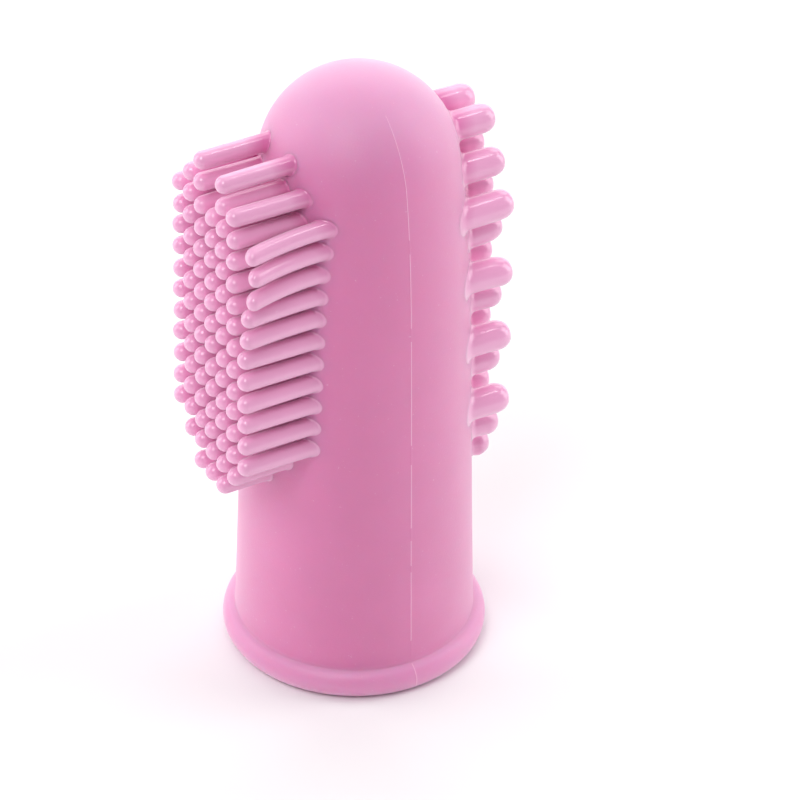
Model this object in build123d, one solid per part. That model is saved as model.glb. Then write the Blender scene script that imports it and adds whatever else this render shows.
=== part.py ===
from build123d import *
import math
import os

# Pet toothbrush: a soft silicone sleeve worn on a fingertip, with a bank of thin
# bristles on one side and a bank of short massage nubs on the other.
# Millimetres. +Z points up the finger towards the closed tip, z = 0 is the plane of
# the open rim, and the sleeve's axis is the Z axis. Bristles point along -X and nubs
# along +X, so the mould parts on the YZ plane.

# ---------------------------------------------------------------- driving dimensions
# finger sleeve
overall_height = 50.0        # rim plane to the top of the dome
dome_radius = 7.44           # closed tip, a part of a sphere
waist_radius = 8.38          # outer radius where the shoulder starts
waist_drop = 12.56           # from the dome's centre down to that place
lower_lean = 0.028           # inward lean of the lower wall, mm per mm
shoulder_lean = 0.16         # inward lean where the shoulder meets the dome

# finger cavity
bore_radius = 7.5            # straight land just inside the mouth
bore_length = 14.0
tip_wall = 1.3               # silicone over the fingertip

# rolled rim
rim_diameter = 20.0
rim_bead_radius = 1.18       # the bead's round section
rim_bead_proud = 0.93        # how far the bead stands out of the sleeve

# bristle bank, a square grid of thin rods
bristle_radius = 0.7
bristle_height = 3.888       # rounded tips above the sleeve's widest part in the bank
bristle_column_pitch = 1.718
bristle_row_pitch = 1.922
bristle_top_drop = 4.77      # from the top of the dome down to the first row
bristle_swing = 30.0         # how far a bristle bends up or down, degrees

# nub bank, staggered stubby pegs
nub_radius = 1.13
nub_height = 1.494           # rounded tips above the sleeve's widest part in the bank
nub_column_pitch = 1.51
nub_row_pitch = 2.92
nub_top_drop = 5.76
nub_swing = 8.0              # how far a nub leans up or down, degrees
nub_hinge_radius = 2.7       # curve of the face that a nub leans on

# fits between a fixed root and the part that bends
hinge_clearance = 0.06       # radial gap between the two round faces
sleeve_gap = 0.12            # least gap between a bending part and the sleeve
cup_half_angle = 55.0        # how far a root's cup wraps a bristle's ball end

# ---------------------------------------------------------------- patterns
# Columns are counted from the +Y side. Each list holds the columns a row fills.
full_row = [0, 1, 2, 3, 4, 5, 6]
bristle_rows = [[2, 4], [1, 2, 4, 5]] + 11 * [full_row] + [[1, 2, 3, 4, 5], [2, 3, 4]]
nub_rows = [[2, 4]] + 4 * [[1, 3, 5], [0, 2, 4, 6]] + [[1, 3, 5], [2, 4]]
middle_column = 3

# ---------------------------------------------------------------- derived values
mouth_radius = rim_diameter / 2 - rim_bead_proud
bead_centre_radius = rim_diameter / 2 - rim_bead_radius
dome_centre_z = overall_height - dome_radius
waist_z = dome_centre_z - waist_drop
shoulder_angle = math.atan(shoulder_lean)
shoulder_radius = dome_radius * math.cos(shoulder_angle)
shoulder_z = dome_centre_z + dome_radius * math.sin(shoulder_angle)
wall_start_z = 2 * rim_bead_radius
cavity_dome_radius = dome_radius - tip_wall


def wall_spans():
    """The two spans of the outer wall: (z, radius, slope) at each end."""
    mouth = (wall_start_z, mouth_radius, -lower_lean)
    waist = (waist_z, waist_radius, -lower_lean)
    shoulder = (shoulder_z, shoulder_radius, -shoulder_lean)
    return [(mouth, waist), (waist, shoulder)]


def sleeve_radius_at(z):
    """Outer radius of the sleeve's wall at height z, below the dome."""
    for (z0, r0, slope0), (z1, r1, slope1) in wall_spans():
        if z <= z1:
            height = z1 - z0
            t = max(0.0, (z - z0) / height)
            rise = r0 * (2 * t**3 - 3 * t**2 + 1) + r1 * (3 * t**2 - 2 * t**3)
            return rise + height * (slope0 * (t**3 - 2 * t**2 + t) + slope1 * (t**3 - t**2))
    return shoulder_radius


def bristle_z(row):
    return overall_height - bristle_top_drop - row * bristle_row_pitch


def bristle_y(column):
    return (middle_column - column) * bristle_column_pitch


def nub_z(row):
    return overall_height - nub_top_drop - row * nub_row_pitch


def nub_y(column):
    return (middle_column - column) * nub_column_pitch


# A row of bristles turns about a line just outside the sleeve's widest part in the bank.
bristle_crest = sleeve_radius_at(bristle_z(len(bristle_rows) - 1) - bristle_radius)
bristle_pivot = bristle_crest + sleeve_gap + bristle_radius
bristle_cup_radius = bristle_radius + hinge_clearance
bristle_reach = bristle_crest + bristle_height
bristle_root_end = bristle_pivot - bristle_cup_radius * math.cos(math.radians(cup_half_angle))

# A row of nubs leans about a line inside the wall, on a round face outside the sleeve.
nub_crest = sleeve_radius_at(nub_z(len(nub_rows) - 1) - 2 * nub_radius)
nub_reach = nub_crest + nub_height
nub_seat_radius = nub_hinge_radius + hinge_clearance
nub_edge_angle = math.asin(nub_radius / nub_seat_radius) + math.radians(nub_swing)
nub_pivot = nub_crest + sleeve_gap - nub_seat_radius * math.cos(nub_edge_angle)


# ---------------------------------------------------------------- finger sleeve
def span_curve(start, end):
    """One span of the outer wall as a cubic curve in the XZ plane."""
    z0, r0, slope0 = start
    z1, r1, slope1 = end
    third = (z1 - z0) / 3
    return Bezier((r0, z0), (r0 + slope0 * third, z0 + third),
                  (r1 - slope1 * third, z1 - third), (r1, z1))


def dome_arc(radius, start_angle):
    """An arc about the dome's centre, from start_angle up to the axis."""
    return CenterArc((0, dome_centre_z), radius, start_angle, 90 - start_angle)


def outer_form():
    """The sleeve's outside as one solid, with no cavity."""
    lower, upper = wall_spans()
    with BuildPart() as form:
        with BuildSketch(Plane.XZ):
            with BuildLine():
                Line((0, 0), (mouth_radius, 0))
                Line((mouth_radius, 0), (mouth_radius, wall_start_z))
                span_curve(*lower)
                span_curve(*upper)
                dome_arc(dome_radius, math.degrees(shoulder_angle))
                Line((0, overall_height), (0, 0))
            make_face()
        revolve(axis=Axis.Z)
    return form.part


def cavity_form():
    """The finger's space: a straight land, then a taper that meets a dome smoothly."""
    run = dome_centre_z - bore_length
    slant = math.hypot(bore_radius, run)
    angle = math.acos(cavity_dome_radius / slant) - math.atan2(run, bore_radius)
    top = (cavity_dome_radius * math.cos(angle),
           dome_centre_z + cavity_dome_radius * math.sin(angle))
    with BuildPart() as form:
        with BuildSketch(Plane.XZ):
            with BuildLine():
                Line((0, 0), (bore_radius, 0))
                Line((bore_radius, 0), (bore_radius, bore_length))
                Line((bore_radius, bore_length), top)
                dome_arc(cavity_dome_radius, math.degrees(angle))
                Line((0, dome_centre_z + cavity_dome_radius), (0, 0))
            make_face()
        revolve(axis=Axis.Z)
    return form.part


def finger_sleeve():
    return outer_form() - cavity_form()


def rim_bead():
    """The rolled bead round the mouth, seated on the outside of the sleeve."""
    ring = Pos(0, 0, rim_bead_radius) * Torus(bead_centre_radius, rim_bead_radius)
    core = Cylinder(mouth_radius, 4 * rim_bead_radius)
    return ring - core


# ---------------------------------------------------------------- rods and roots
def along_x(shape, side):
    """Turn a shape that stands on +Z so that it points along +X or -X."""
    return Rot(0, 90 * side, 0) * shape


def bristle_link(side=-1):
    """The bending part of a bristle: a ball at the hinge, a rod and a round tip."""
    length = bristle_reach - bristle_radius - bristle_pivot
    rod = Pos(0, 0, length / 2) * Cylinder(bristle_radius, length)
    capsule = rod + Sphere(bristle_radius) + Pos(0, 0, length) * Sphere(bristle_radius)
    return along_x(capsule, side)


def bristle_root(side=-1):
    """The fixed root: a rod from the axis outwards, with a cup for the ball end."""
    rod = Pos(0, 0, bristle_root_end / 2) * Cylinder(bristle_radius, bristle_root_end)
    cup = Pos(0, 0, bristle_pivot) * Sphere(bristle_cup_radius)
    return along_x(rod - cup, side)


def nub_link(side=1):
    """The leaning part of a nub: a round tip with a hollow face that sits on its root."""
    centre = nub_reach - nub_radius
    rod = Pos(0, 0, centre / 2) * Cylinder(nub_radius, centre)
    peg = rod + Pos(0, 0, centre) * Sphere(nub_radius)
    seat = Pos(0, 0, nub_pivot) * Sphere(nub_seat_radius)
    below = Pos(0, 0, nub_pivot / 2) * Cylinder(2 * nub_radius, nub_pivot)
    return along_x(peg - seat - below, side)


def nub_root(side=1):
    """The fixed root of a nub, rounded about the line that the nub leans on."""
    length = nub_pivot + nub_hinge_radius
    rod = Pos(0, 0, length / 2) * Cylinder(nub_radius, length)
    crown = Pos(0, 0, nub_pivot) * Sphere(nub_hinge_radius)
    return along_x(rod & crown, side)


def copies(shape, places):
    """The same piece at several places, as separate solids."""
    return Compound(children=[Pos(*place) * shape for place in places])


def roots_outside(sleeve_form, root, places):
    """Roots trimmed to meet the sleeve's outer face, as separate solids."""
    trimmed = []
    for place in places:
        piece = Pos(*place) * root - sleeve_form
        trimmed.append(max(piece.solids(), key=lambda solid: abs(solid.center().X)))
    return Compound(children=trimmed)


def bristle_places(row, x=0.0):
    return [(x, bristle_y(column), bristle_z(row)) for column in bristle_rows[row]]


def nub_places(row, x=0.0):
    return [(x, nub_y(column), nub_z(row)) for column in nub_rows[row]]


def all_places(rows, places_of_row):
    return [place for row in range(len(rows)) for place in places_of_row(row)]


# ---------------------------------------------------------------- the whole brush
def build_parts():
    """Every node's shape, by name."""
    form = outer_form()
    bristle_spots = all_places(bristle_rows, bristle_places)
    nub_spots = all_places(nub_rows, nub_places)
    parts = {
        "finger_sleeve": finger_sleeve(),
        "rim_bead": rim_bead(),
        "bristle_roots": roots_outside(form, bristle_root(), bristle_spots),
        "nub_roots": roots_outside(form, nub_root(), nub_spots),
    }
    bristle = bristle_link()
    for row in range(len(bristle_rows)):
        places = bristle_places(row, -bristle_pivot)
        parts[f"bristle_row_{row + 1:02d}"] = copies(bristle, places)
    nub = nub_link()
    for row in range(len(nub_rows)):
        parts[f"nub_row_{row + 1:02d}"] = copies(nub, nub_places(row))
    return parts


def export_parts(parts):
    os.makedirs("parts", exist_ok=True)
    for node, shape in parts.items():
        export_step(shape, f"parts/{node}.step")
        print(f"{node}: {len(shape.solids())} solid(s), {shape.volume:.2f} mm3")


if __name__ in ("__main__", "part"):
    export_parts(build_parts())
    print(f"bristle hinge line {bristle_pivot:.3f} mm from the axis")
    print(f"nub hinge line {nub_pivot:.3f} mm from the axis")
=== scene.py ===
# %% [markdown]
# # A soft pet toothbrush that is worn on a fingertip
# The brush is one piece of moulded silicone: a thin sleeve with a round closed tip, a bank of
# fine bristles on one side and a bank of stubby massage nubs on the other. The frame holds its
# hard facts, such as where each row of bristles stands and which hinge it bends on. This script
# grows the soft skin, the rods and the finish round that frame.

# %% Load the frame
import math
import bpy
import numpy as np
from mathutils import Matrix, Vector


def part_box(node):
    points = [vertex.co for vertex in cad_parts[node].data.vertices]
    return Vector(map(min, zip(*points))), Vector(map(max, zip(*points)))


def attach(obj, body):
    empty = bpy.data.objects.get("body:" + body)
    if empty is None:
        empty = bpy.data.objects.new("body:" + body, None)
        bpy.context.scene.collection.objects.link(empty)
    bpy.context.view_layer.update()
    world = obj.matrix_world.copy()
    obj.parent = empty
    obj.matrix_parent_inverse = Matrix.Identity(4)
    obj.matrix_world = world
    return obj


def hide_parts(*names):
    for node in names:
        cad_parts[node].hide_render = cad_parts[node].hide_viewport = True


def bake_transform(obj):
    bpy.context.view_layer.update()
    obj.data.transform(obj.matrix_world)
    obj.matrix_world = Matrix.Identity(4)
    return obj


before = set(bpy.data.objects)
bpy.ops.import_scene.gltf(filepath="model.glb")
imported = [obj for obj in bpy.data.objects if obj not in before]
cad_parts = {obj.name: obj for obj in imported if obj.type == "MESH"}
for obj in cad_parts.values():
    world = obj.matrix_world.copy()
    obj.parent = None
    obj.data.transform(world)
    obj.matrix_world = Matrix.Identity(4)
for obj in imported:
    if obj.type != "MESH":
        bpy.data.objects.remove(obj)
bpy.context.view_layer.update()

# %% [markdown]
# ## The camera
# A small object is usually shot from some way off with a long lens, because that keeps its
# upright sides nearly parallel. A camera is easiest to place by the direction it looks from: an
# azimuth round the object, an elevation above the table, and a distance. The three unit vectors
# below are the camera's right, up and backward directions, which are the columns of its matrix.

# %% Place the camera
MM = 0.001
camera_azimuth = math.radians(-28.95)
camera_elevation = math.radians(36.10)
camera_roll = math.radians(0.84)
camera_distance = 525.9 * MM
camera_aim = Vector((2.87, -1.588, 20.96)) * MM
camera_lens = 316.7             # on the usual 36 mm sensor


def camera_matrix():
    """The camera's place and directions, looking at camera_aim."""
    level = Vector((math.cos(camera_azimuth), math.sin(camera_azimuth), 0))
    back = Vector((math.sin(camera_azimuth) * math.cos(camera_elevation),
                   -math.cos(camera_azimuth) * math.cos(camera_elevation),
                   math.sin(camera_elevation)))
    upright = back.cross(level)
    right = math.cos(camera_roll) * level + math.sin(camera_roll) * upright
    up = back.cross(right)
    matrix = Matrix((right, up, back)).transposed().to_4x4()
    matrix.translation = camera_aim + back * camera_distance
    return matrix


camera_data = bpy.data.cameras.new("product_camera")
camera_data.lens = camera_lens
camera_data.sensor_width = 36.0
camera_data.clip_start = 0.01
camera = bpy.data.objects.new("product_camera", camera_data)
camera.matrix_world = camera_matrix()
bpy.context.scene.collection.objects.link(camera)
bpy.context.scene.camera = camera
print("camera height, mm:", round(camera.matrix_world.translation.z / MM, 1))

# %% [markdown]
# ## The silicone
# Pink silicone is not a plain matt plastic. Light enters it and comes out a little further on,
# so its shadows are rosy and never grey: that is subsurface scattering, with red light
# travelling furthest. Its moulded face has a fine tooth that spreads highlights into broad pale
# patches: roughness and a faint bump. Faces that look up, and the rolled rim, are painted paler:
# a painted highlight from the lights above, and painted light from the floor on the rim. It is
# a blend of colour by the face's direction and by height.
# One function mixes three finishes. The sleeve has the scattering and the painted light. The thin rods
# have neither: scattering on rods this thin drew a grey line round each root, so they are painted
# paler instead, as painted light that stands in for the light scattering through them, and are
# glossier, and take the sleeve's colour where they grow out of it. The parting ridge is a third,
# paler finish, a painted highlight, so that it still shows.
# The noise reads object coordinates, which here are the frame's own metres, so one texture runs
# over all the pieces without a break. Values that are the same everywhere sit on the shader.

# %% Mix the silicone
sleeve_pink = (0.750, 0.190, 0.450, 1.0)
# painted light: the rods' paler pink stands in for the light that would scatter through such thin rods
rod_painted_light_pink = (0.905, 0.405, 0.665, 1.0)
# painted light: the paler pink painted on faces that look up, as a highlight from the lights above, and on
# the rim, as light from the floor
painted_light_pink = (0.750, 0.310, 0.555, 1.0)
dust_pink = (0.88, 0.60, 0.74, 1.0)
# painted highlight: the paler pink on the parting ridge's flanks, for the light the ridge would catch
ridge_highlight_pink = (0.90, 0.50, 0.70, 1.0)
cloud_grain = 5 * MM            # slow drift of the colour
tooth_grain = 0.16 * MM         # fine tooth of the mould's face
speck_grain = 0.24 * MM         # specks of dust
speck_share = 0.3
deep_share = 0.96               # how dark the drift makes the colour at its darkest
rim_painted_light_share = 0.8           # the rim's painted floor light, as a share of the painted light on faces that look up
rim_painted_light_from, rim_painted_light_to = 2.7 * MM, 2.2 * MM
root_colour_ends = 7.3 * MM     # distance from the axis where a rod still has the sleeve's colour
rod_colour_starts = 8.7 * MM


def noise(nodes, links, coordinates, grain, detail):
    """A noise texture whose blotches are about grain metres across."""
    node = nodes.new("ShaderNodeTexNoise")
    node.inputs["Scale"].default_value = 1.0 / grain
    node.inputs["Detail"].default_value = detail
    links.new(coordinates, node.inputs["Vector"])
    return node.outputs["Fac"]


def remap(nodes, links, value, low, high, to_low, to_high):
    """Stretch a value from one range to another, and hold it there."""
    node = nodes.new("ShaderNodeMapRange")
    for name, number in (("From Min", low), ("From Max", high),
                         ("To Min", to_low), ("To Max", to_high)):
        node.inputs[name].default_value = number
    links.new(value, node.inputs["Value"])
    return node.outputs["Result"]


def mix_colour(nodes, links, share, first, second):
    """Blend two colours. Each may be a fixed colour or another node's output."""
    node = nodes.new("ShaderNodeMix")
    node.data_type = "RGBA"
    links.new(share, node.inputs["Factor"])
    for socket, colour in ((node.inputs[6], first), (node.inputs[7], second)):
        if isinstance(colour, tuple):
            socket.default_value = colour
        else:
            links.new(colour, socket)
    return node.outputs[2]


def make_silicone(name, colour, root_colour, painted_light, scatter, smoothest, roughest, tooth):
    """One finish. painted_light, scatter and tooth are strengths from 0 to 1; painted_light is paler paint
    that stands in for light on faces that look up and on the rim.
    """
    material = bpy.data.materials.new(name)
    material.use_nodes = True
    nodes, links = material.node_tree.nodes, material.node_tree.links
    shader = nodes["Principled BSDF"]
    texture = nodes.new("ShaderNodeTexCoord")
    place = texture.outputs["Object"]
    split = nodes.new("ShaderNodeSeparateXYZ")
    links.new(texture.outputs["Normal"], split.inputs["Vector"])
    height = nodes.new("ShaderNodeSeparateXYZ")
    links.new(place, height.inputs["Vector"])
    # Painted light: faces that look up, and the rim by its height, take a share of the paler pink.
    upward = nodes.new("ShaderNodeMath")
    upward.operation = "MAXIMUM"
    facing_up = remap(nodes, links, split.outputs["Z"], 0.05, 0.80, 0, painted_light)
    on_rim = remap(nodes, links, height.outputs["Z"], rim_painted_light_from, rim_painted_light_to,
                   0, rim_painted_light_share * painted_light)
    links.new(facing_up, upward.inputs[0])
    links.new(on_rim, upward.inputs[1])
    cloud = remap(nodes, links, noise(nodes, links, place, cloud_grain, 2), 0.35, 0.65, 0, 1)
    grain = remap(nodes, links, noise(nodes, links, place, tooth_grain, 3), 0.3, 0.7, 0, 1)
    deep = tuple(deep_share * part for part in colour[:3]) + (1.0,)
    pink = mix_colour(nodes, links, cloud, deep, colour)
    flat = nodes.new("ShaderNodeVectorMath")
    flat.operation = "MULTIPLY"
    links.new(place, flat.inputs[0])
    flat.inputs[1].default_value = (1, 1, 0)
    out = nodes.new("ShaderNodeVectorMath")
    out.operation = "LENGTH"
    links.new(flat.outputs["Vector"], out.inputs[0])
    grown = remap(nodes, links, out.outputs["Value"], root_colour_ends, rod_colour_starts, 0, 1)
    pink = mix_colour(nodes, links, grown, root_colour, pink)
    # Mix in the painted light.
    pink = mix_colour(nodes, links, upward.outputs[0], pink, painted_light_pink)
    dust = noise(nodes, links, place, speck_grain, 1)
    specks = remap(nodes, links, dust, 0.74, 0.80, 0, speck_share)
    links.new(mix_colour(nodes, links, specks, pink, dust_pink), shader.inputs["Base Color"])
    links.new(remap(nodes, links, grain, 0, 1, smoothest, roughest), shader.inputs["Roughness"])
    bump = nodes.new("ShaderNodeBump")
    bump.inputs["Strength"].default_value = tooth
    bump.inputs["Distance"].default_value = 0.02 * MM
    links.new(grain, bump.inputs["Height"])
    links.new(bump.outputs["Normal"], shader.inputs["Normal"])
    shader.inputs["IOR"].default_value = 1.70
    shader.inputs["Subsurface Weight"].default_value = scatter
    shader.inputs["Subsurface Radius"].default_value = (1.0, 0.45, 0.65)
    shader.inputs["Subsurface Scale"].default_value = 1.2 * MM
    shader.inputs["Sheen Weight"].default_value = 0.6
    shader.inputs["Sheen Roughness"].default_value = 0.55
    shader.inputs["Sheen Tint"].default_value = (1.0, 0.90, 0.96, 1.0)
    return material


# The ridge's finish is a paler colour painted as a highlight.
ridge_highlight_silicone = make_silicone("pink_silicone_ridge_highlight", ridge_highlight_pink, ridge_highlight_pink, painted_light=0.0, scatter=0.0,
                               smoothest=0.48, roughest=0.58, tooth=0.1)
# The sleeve carries the painted light on faces that look up and on the rim.
silicone = make_silicone("pink_silicone", sleeve_pink, sleeve_pink, painted_light=1.0, scatter=1.0,
                         smoothest=0.48, roughest=0.58, tooth=0.25)
# The rods' paler colour is painted light in place of scattering.
rod_silicone = make_silicone("pink_silicone_rods", rod_painted_light_pink, sleeve_pink, painted_light=0.0, scatter=0.0,
                             smoothest=0.15, roughest=0.20, tooth=0.05)
print("silicone nodes:", len(silicone.node_tree.nodes))

# %% [markdown]
# ## The sleeve
# The sleeve is a shape of revolution, so one outline turned about the axis makes it. It could be
# a curve with a Screw modifier. Here the outline is worked out as points, because the bristles
# need the same wall to stand on: sleeve_radius gives the outer radius at any height. The outline
# runs from the top of the finger space down its wall, round the rim's soft edge and rolled bead,
# and up the outside. Its lower wall leans in a little and its shoulder leans in more, and each
# span between them is one cubic curve that keeps those leans at its ends.

# %% The sleeve's outline
overall_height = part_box("finger_sleeve")[1].z
rim_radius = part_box("rim_bead")[1].x
bead_radius = 1.18 * MM
bead_proud = 0.93 * MM          # how far the bead stands out of the sleeve
mouth_radius = rim_radius - bead_proud
dome_radius = 7.44 * MM
dome_centre = overall_height - dome_radius
waist_radius = 8.38 * MM
waist_height = dome_centre - 12.56 * MM
lower_lean = 0.028
shoulder_lean = 0.16
shoulder_angle = math.atan(shoulder_lean)
bore_radius = 7.5 * MM
bore_length = 14.0 * MM
tip_wall = 1.3 * MM             # silicone over the fingertip
cavity_dome_radius = dome_radius - tip_wall
mouth_edge = 0.45 * MM          # soft edge between the finger space and the underside
crease_radius = 0.22 * MM       # hollow where the bead meets the wall


def cubic(t, start, end, start_slope, end_slope):
    """A cubic from start to end with the given slopes, for t from 0 to 1."""
    return (start * (2 * t**3 - 3 * t**2 + 1) + end * (3 * t**2 - 2 * t**3)
            + start_slope * (t**3 - 2 * t**2 + t) + end_slope * (t**3 - t**2))


def sleeve_radius(z):
    """The sleeve's outer radius at height z, dome included. Takes numbers or arrays."""
    z = np.asarray(z, float)
    shoulder = dome_centre + dome_radius * math.sin(shoulder_angle)
    low, high = waist_height - 2 * bead_radius, shoulder - waist_height
    lower = cubic(np.clip((z - 2 * bead_radius) / low, 0, 1), mouth_radius, waist_radius,
                  -lower_lean * low, -lower_lean * low)
    upper = cubic(np.clip((z - waist_height) / high, 0, 1), waist_radius,
                  dome_radius * math.cos(shoulder_angle), -lower_lean * high, -shoulder_lean * high)
    dome = np.sqrt(np.clip(dome_radius**2 - (z - dome_centre)**2, 0, None))
    return np.where(z < waist_height, lower, np.where(z < shoulder, upper, dome))


def arc(centre_r, centre_z, radius, first, last, steps):
    """Points (r, z) on an arc, from one angle to another in degrees."""
    angles = [math.radians(a) for a in np.linspace(first, last, steps)]
    return [(centre_r + radius * math.cos(a), centre_z + radius * math.sin(a)) for a in angles]


def sleeve_outline():
    """The closed tip's inside, down the finger space, round the rim and up the outside."""
    run = dome_centre - bore_length
    meet = math.degrees(math.acos(cavity_dome_radius / math.hypot(bore_radius, run))
                        - math.atan2(run, bore_radius))
    inside = arc(0, dome_centre, cavity_dome_radius, 90, meet, 24)
    top_r, top_z = inside[-1]
    taper = [(top_r + s * (bore_radius - top_r), top_z + s * (bore_length - top_z))
             for s in np.linspace(0.06, 1, 16)]
    land = [(bore_radius, z) for z in np.linspace(bore_length * 0.9, mouth_edge * 1.5, 8)]
    lip = arc(bore_radius + mouth_edge, mouth_edge, mouth_edge, 180, 270, 8)
    bead_centre = rim_radius - bead_radius
    reach = mouth_radius + crease_radius - bead_centre
    lift = math.sqrt((bead_radius + crease_radius)**2 - reach**2)
    turn = math.degrees(math.atan2(lift, reach))
    bead = arc(bead_centre, bead_radius, bead_radius, -90, turn, 30)
    crease = arc(mouth_radius + crease_radius, bead_radius + lift, crease_radius, turn + 180, 180, 8)
    wall_heights = np.linspace(crease[-1][1] + 0.1 * MM, dome_centre, 70)
    wall = [(float(sleeve_radius(z)), z) for z in wall_heights]
    dome = arc(0, dome_centre, dome_radius, math.degrees(shoulder_angle) * 0.6, 90, 40)
    return inside + taper + land + lip + bead + crease[1:] + wall + dome


outline = sleeve_outline()
print("outline points:", len(outline), "waist width, mm:", round(2 * waist_radius / MM, 2))

# %% [markdown]
# ## The parting ridge
# The mould's two halves meet on the plane between bristles and nubs, and leave a hair-thin
# ridge there. It is far too fine for evenly spaced vertices. So the sleeve's columns of
# vertices are spaced evenly except beside that plane, where a few stand close together and
# can rise into a ridge. A slow wave along its height makes it fade in and out as a real one
# does, and it dies away at the top of the dome and on the inside. A ridge this low hardly
# catches the light by its shape, so the faces on its flanks are painted paler wherever the
# wave is strong: a painted highlight along the ridge, which draws the broken hairline that a
# mould leaves.

# %% Turn the outline into the skin
ridge_height = 0.040 * MM
ridge_offsets = (-1.6, -1.0, -0.50, -0.17, 0.0, 0.17, 0.50, 1.0, 1.6)   # degrees beside the plane
ridge_profile = (0.0, 0.0, 0.12, 0.75, 1.0, 0.75, 0.12, 0.0, 0.0)
ridge_highlight_from = 0.62         # strength above which the ridge's flanks take the painted highlight
ridge_fade = 1.5 * MM           # height below the top over which the ridge dies away


def skin_columns():
    """The angle of each column of vertices, and how much of the ridge it carries."""
    columns = []
    for middle in (90.0, 270.0):
        columns += [(middle + offset, share) for offset, share in zip(ridge_offsets, ridge_profile)]
        columns += [(middle + even, 0.0) for even in np.arange(3.0, 178.0, 1.5)]
    return [(math.radians(angle), share) for angle, share in columns]


def ridge_strength(z):
    """How proud the ridge stands at height z, as a share of its full height."""
    wave = 0.75 + 0.25 * math.sin(z / (1.9 * MM)) * math.sin(z / (0.83 * MM) + 1.0)
    fade = min(1.0, max(0.0, (overall_height - z) / ridge_fade))
    return wave * fade


def new_piece(name, vertices, faces, material=silicone):
    """A smooth-shaded mesh object with one material, linked to the scene."""
    mesh = bpy.data.meshes.new(name)
    mesh.from_pydata([tuple(v) for v in vertices], [], faces)
    mesh.validate()
    mesh.polygons.foreach_set("use_smooth", [True] * len(mesh.polygons))
    mesh.materials.append(material)
    piece = bpy.data.objects.new(name, mesh)
    bpy.context.scene.collection.objects.link(piece)
    return piece


def ring_faces(rings, around):
    """Quads between closed rings of vertices that follow each other."""
    return [(r * around + k, r * around + (k + 1) % around,
             (r + 1) * around + (k + 1) % around, (r + 1) * around + k)
            for r in range(rings - 1) for k in range(around)]


def skin_mesh():
    """The sleeve's vertices and faces, and the numbers of the faces on the ridge's flanks."""
    columns = skin_columns()
    around = len(columns)
    outside_from = next(i for i, (r, z) in enumerate(outline) if r > bore_radius + 2 * mouth_edge)
    vertices = []
    for i, (r, z) in enumerate(outline[1:-1], 1):
        ridge = ridge_height * ridge_strength(z) if i > outside_from else 0.0
        for angle, share in columns:
            out = r + ridge * share
            vertices.append((out * math.cos(angle), out * math.sin(angle), z))
    rings = len(outline) - 2
    faces = ring_faces(rings, around)
    inner_pole, outer_pole = len(vertices), len(vertices) + 1
    crests = [k for k, (angle, share) in enumerate(columns) if share == 1.0]
    ridge_flanks = [k for crest in crests for k in (crest - 1, crest)]
    pale = set()
    for r in range(outside_from, rings - 1):
        if ridge_strength(outline[r + 1][1]) > ridge_highlight_from:
            pale.update(r * around + k for k in ridge_flanks)
    vertices += [(0, 0, outline[0][1]), (0, 0, outline[-1][1])]
    last = (rings - 1) * around
    faces += [(inner_pole, (k + 1) % around, k) for k in range(around)]
    faces += [(last + k, last + (k + 1) % around, outer_pole) for k in range(around)]
    return vertices, faces, pale


vertices, faces, ridge_highlight_faces = skin_mesh()
skin = new_piece("silicone_sleeve", vertices, faces)
# Faces on the ridge's flanks take the painted highlight.
skin.data.materials.append(ridge_highlight_silicone)
for index in ridge_highlight_faces:
    skin.data.polygons[index].material_index = 1
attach(skin, "sleeve")
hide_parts("finger_sleeve", "rim_bead", "bristle_roots", "nub_roots")
print("sleeve faces:", len(skin.data.polygons))

# %% [markdown]
# ## One rod
# A bristle and a nub are the same shape at two sizes: a rod that grows out of the wall in a
# small hollow fillet and ends in a round tip. A cylinder pushed into the sleeve would meet it in
# a hard line. So the first rings of a rod lie on the sleeve itself and climb a quarter circle to
# the rod's side: each point asks sleeve_radius where the wall is. The last rings close the tip.
# The rod's line may also bow a little, as moulded silicone rods do when they are pulled warm
# from the mould.

# %% Build a rod
rod_around = 28
fillet_steps = 7
shaft_steps = 14
tip_steps = 9
sunk = 0.12 * MM                # how deep a rod's closed foot sits in the wall
tucked = 0.006 * MM             # how far a fillet's edge is tucked under the wall's surface
bow_limit = 1.3                 # how far past the straight part the bow keeps growing


def wall_x(y, z):
    """How far out the sleeve's surface is from the plane x = 0 at a place (y, z)."""
    return np.sqrt(np.clip(sleeve_radius(z)**2 - y**2, 0, None))


def rod_rings(y, z, reach, radius, fillet, bow, squareness):
    """Rings of points for a rod that points outwards at (y, z). Distances are from x = 0."""
    turn = np.linspace(0, 2 * math.pi, rod_around, endpoint=False)
    ring_y, ring_z = np.cos(turn), np.sin(turn)
    rings = []
    wide = radius + fillet
    foot = wall_x(y + wide * ring_y, z + wide * ring_z)
    rings.append((foot - sunk, y + wide * ring_y, z + wide * ring_z))
    for t in np.linspace(0, 1, fillet_steps):
        out = radius + fillet * (1 - math.sin(t * math.pi / 2))
        climb = fillet * (1 - math.cos(t * math.pi / 2)) - tucked
        py, pz = y + out * ring_y, z + out * ring_z
        rings.append((wall_x(py, pz) + climb, py, pz))
    start = rings[-1][0]
    centre = reach - radius
    for s in np.linspace(0, 1, shaft_steps + 1)[1:]:
        rings.append((start + s * (centre - start), y + radius * ring_y, z + radius * ring_z))
    for a in np.linspace(0, math.pi / 2, tip_steps + 1)[1:-1]:
        narrow = radius * math.cos(a)**squareness
        ring_x = np.full(rod_around, centre + radius * math.sin(a))
        rings.append((ring_x, y + narrow * ring_y, z + narrow * ring_z))
    return [bowed(ring, y, z, centre, bow) for ring in rings]


def bowed(ring, y, z, centre, bow):
    """Shift a ring sideways by more and more towards the rod's tip."""
    x, ring_y, ring_z = ring
    root = wall_x(y, z)
    share = np.clip((x - root) / (centre - root), 0, bow_limit)
    return x, ring_y + bow[0] * share**2, ring_z + bow[1] * share**2


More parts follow.
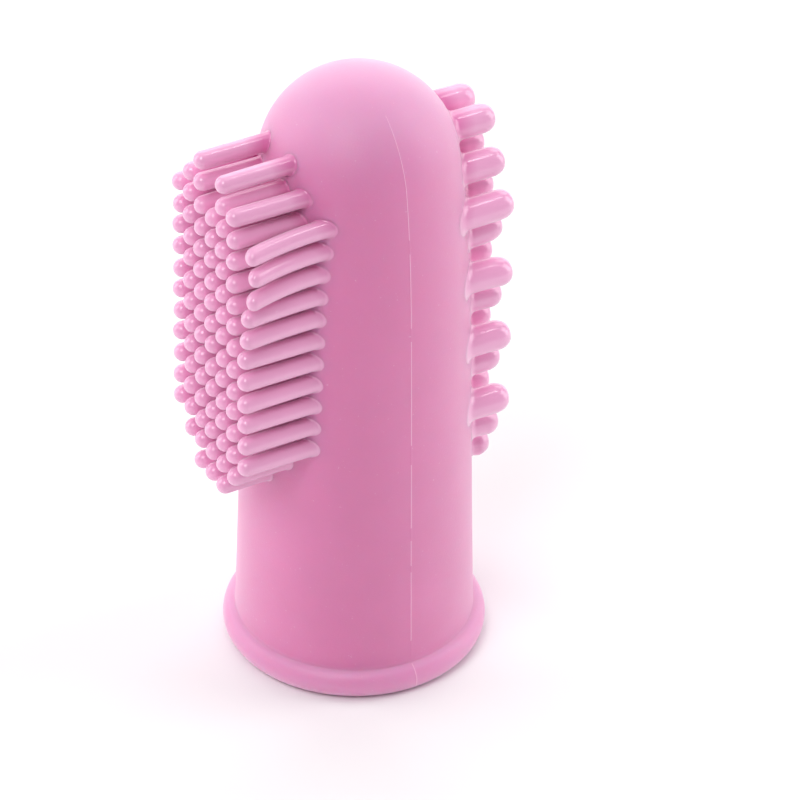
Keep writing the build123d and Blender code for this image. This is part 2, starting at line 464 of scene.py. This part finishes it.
def add_rod(vertices, faces, side, spot, reach, radius, fillet, bow=(0, 0), squareness=1.0):
    """Append one closed rod to a mesh's lists. side is +1 towards +X and -1 towards -X."""
    y, z = spot
    rings = rod_rings(y, z, reach, radius, fillet, bow, squareness)
    base = len(vertices)
    for x, ring_y, ring_z in rings:
        vertices.extend(zip(side * x, ring_y, ring_z))
    foot, tip = len(vertices), len(vertices) + 1
    vertices.append((side * (wall_x(y, z) - sunk), y, z))
    stretch = min(bow_limit, (reach - wall_x(y, z)) / (reach - radius - wall_x(y, z)))
    vertices.append((side * reach, y + bow[0] * stretch**2, z + bow[1] * stretch**2))
    own = [tuple(base + i for i in face) for face in ring_faces(len(rings), rod_around)]
    last = base + (len(rings) - 1) * rod_around
    for k in range(rod_around):
        after = (k + 1) % rod_around
        own.append((foot, base + after, base + k))
        own.append((last + k, last + after, tip))
    faces.extend(face if side > 0 else tuple(reversed(face)) for face in own)


print("points on one rod:", rod_around * (fillet_steps + shaft_steps + tip_steps) + 2)

# %% [markdown]
# ## The bristles
# The bristles stand in a square grid, seven columns wide, with its corners left out so that
# the bank has round shoulders. Each row is one piece, because each row has its own hinge in the
# frame. A row's height and reach come from the frame's box of that row, and the column pitch
# from the width of a full row. A seeded random draw gives each rod its own small lean. The rods
# at the open top corner have the larger bow that being bent by hand leaves: they swing
# sideways, and reach a little less far for it.

# %% Plant the bristles
full_row = [0, 1, 2, 3, 4, 5, 6]
bristle_rows = [[2, 4], [1, 2, 4, 5]] + 11 * [full_row] + [[1, 2, 3, 4, 5], [2, 3, 4]]
middle_column = 3
bristle_radius = 0.7 * MM
bristle_fillet = 0.14 * MM
bristle_lean = 0.045 * MM       # spread of the random lean at the tips
# A bent rod's row and column, then how far its tip goes sideways and up and how much shorter
# its reach is, in millimetres.
bent_rods = {(2, 6): (-0.60, -0.12, 0.30), (3, 6): (-0.80, 0.05, 0.40),
             (4, 6): (-0.65, -0.20, 0.35), (5, 6): (-0.30, -0.05, 0.15),
             (6, 6): (-0.20, 0.0, 0.08)}
random = np.random.default_rng(7)


def box_middle(node):
    low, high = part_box(node)
    return (low + high) / 2


wide_low, wide_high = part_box("bristle_row_08")
bristle_pitch = (wide_high.y - wide_low.y - 2 * bristle_radius) / 6
bristle_rod_count = 0
for row, columns in enumerate(bristle_rows):
    node = f"bristle_row_{row + 1:02d}"
    z = box_middle(node).z
    vertices, faces = [], []
    for column in columns:
        lean = random.normal(0, bristle_lean, 2)
        bend = bent_rods.get((row, column), (0, 0, 0))
        reach = -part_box(node)[0].x - bend[2] * MM
        bow = (lean[0] + bend[0] * MM, lean[1] + bend[1] * MM)
        spot = ((middle_column - column) * bristle_pitch, z)
        add_rod(vertices, faces, -1, spot, reach, bristle_radius, bristle_fillet, bow)
        bristle_rod_count += 1
    piece = new_piece(f"bristles_{row + 1:02d}", vertices, faces, rod_silicone)
    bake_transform(piece)
    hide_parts(node)
print("bristles:", bristle_rod_count, "pitch, mm:", round(bristle_pitch / MM, 3))

# %% [markdown]
# ## The nubs
# The nubs are about 1.6 times as wide as the bristles and stand in staggered rows, so each sits
# over the gap between the two below it. Being stubby, they have a wider fillet and a tip that is
# flatter than a half ball: a power below one on its cosine squares it off.

# %% Plant the nubs
nub_rows = [[2, 4]] + 4 * [[1, 3, 5], [0, 2, 4, 6]] + [[1, 3, 5], [2, 4]]
nub_radius = 1.13 * MM
nub_fillet = 0.42 * MM
nub_lean = 0.03 * MM
nub_squareness = 0.62
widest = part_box("nub_row_03")
nub_pitch = (widest[1].y - widest[0].y - 2 * nub_radius) / 6
nub_count = 0
for row, columns in enumerate(nub_rows):
    node = f"nub_row_{row + 1:02d}"
    z = box_middle(node).z
    vertices, faces = [], []
    for column in columns:
        bow = tuple(random.normal(0, nub_lean, 2))
        spot = ((middle_column - column) * nub_pitch, z)
        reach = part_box(node)[1].x
        add_rod(vertices, faces, 1, spot, reach, nub_radius, nub_fillet, bow, nub_squareness)
        nub_count += 1
    piece = new_piece(f"nubs_{row + 1:02d}", vertices, faces, rod_silicone)
    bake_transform(piece)
    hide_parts(node)
print("nubs:", nub_count, "pitch, mm:", round(nub_pitch / MM, 3))

# %% [markdown]
# ## The table and the light
# A product like this is shot on a white sweep. The floor is a large pale sheet; it isn't part
# of the brush. Eight lights stand round it. Two tall soft boxes stand
# slightly behind the object, one each side, and rake its flanks: the sides go pale and the
# middle keeps its full colour. The box high at the front is the key light, and lights the dome
# and the bristles' upper sides. A back box and a low strip behind it whiten the sheet and draw a
# pale edge, an overhead box lifts the gaps, and a weak fill opens the front. The last is a small
# lamp, for the thin bright streaks on the rods. A straight rod along x mirrors a light to the
# camera only from one ring of directions, and the lamp hangs on that ring.

# %% Lay the floor
floor_half = 1.5
floor_white = (0.93, 0.925, 0.93, 1.0)
floor = new_piece("pale_floor", [(-floor_half, -floor_half, 0), (floor_half, -floor_half, 0),
                                 (floor_half, floor_half, 0), (-floor_half, floor_half, 0)], [(0, 1, 2, 3)],
                  bpy.data.materials.new("pale_paper"))
paper = floor.data.materials[0]
paper.use_nodes = True
paper.node_tree.nodes["Principled BSDF"].inputs["Base Color"].default_value = floor_white
paper.node_tree.nodes["Principled BSDF"].inputs["Roughness"].default_value = 0.9

# %% Hang the lights
view_side = Vector((math.sin(camera_azimuth), -math.cos(camera_azimuth), 0))   # towards the camera
view_right = Vector((math.cos(camera_azimuth), math.sin(camera_azimuth), 0))
light_target = Vector((0, 0, 25 * MM))


def soft_box(name, sideways, forward, height, width, tall, watts):
    """An area light at a place told from the camera's side, aimed at the brush."""
    data = bpy.data.lights.new(name, "AREA")
    data.shape = "RECTANGLE"
    data.size, data.size_y = width, tall
    data.energy = watts
    light = bpy.data.objects.new(name, data)
    place = view_right * sideways + view_side * forward + Vector((0, 0, height))
    light.matrix_world = (Matrix.Translation(place)
                          @ (place - light_target).to_track_quat("Z", "Y").to_matrix().to_4x4())
    bpy.context.scene.collection.objects.link(light)


soft_box("left_box", -0.55, -0.10, 0.25, 0.35, 0.60, 1.7)
soft_box("right_box", 0.55, -0.10, 0.25, 0.35, 0.60, 1.9)
soft_box("overhead_box", 0.0, -0.05, 0.70, 0.60, 0.60, 0.95)
soft_box("back_box", 0.0, -0.55, 0.50, 0.90, 0.40, 2.5)
soft_box("front_top_box", -0.25, 0.45, 0.70, 0.45, 0.40, 2.85)
soft_box("front_fill", 0.0, 0.9, 0.45, 0.60, 0.40, 0.4)
soft_box("small_lamp", 0.29, -0.08, 0.71, 0.07, 0.07, 0.2)
soft_box("low_back_strip", 0.0, -0.80, 0.12, 1.60, 0.24, 2.3)
world = bpy.data.worlds.new("studio")
world.use_nodes = True
world.node_tree.nodes["Background"].inputs["Color"].default_value = (1.0, 0.985, 0.99, 1.0)
world.node_tree.nodes["Background"].inputs["Strength"].default_value = 0.15
bpy.context.scene.world = world
bpy.context.scene.view_settings.view_transform = "Standard"
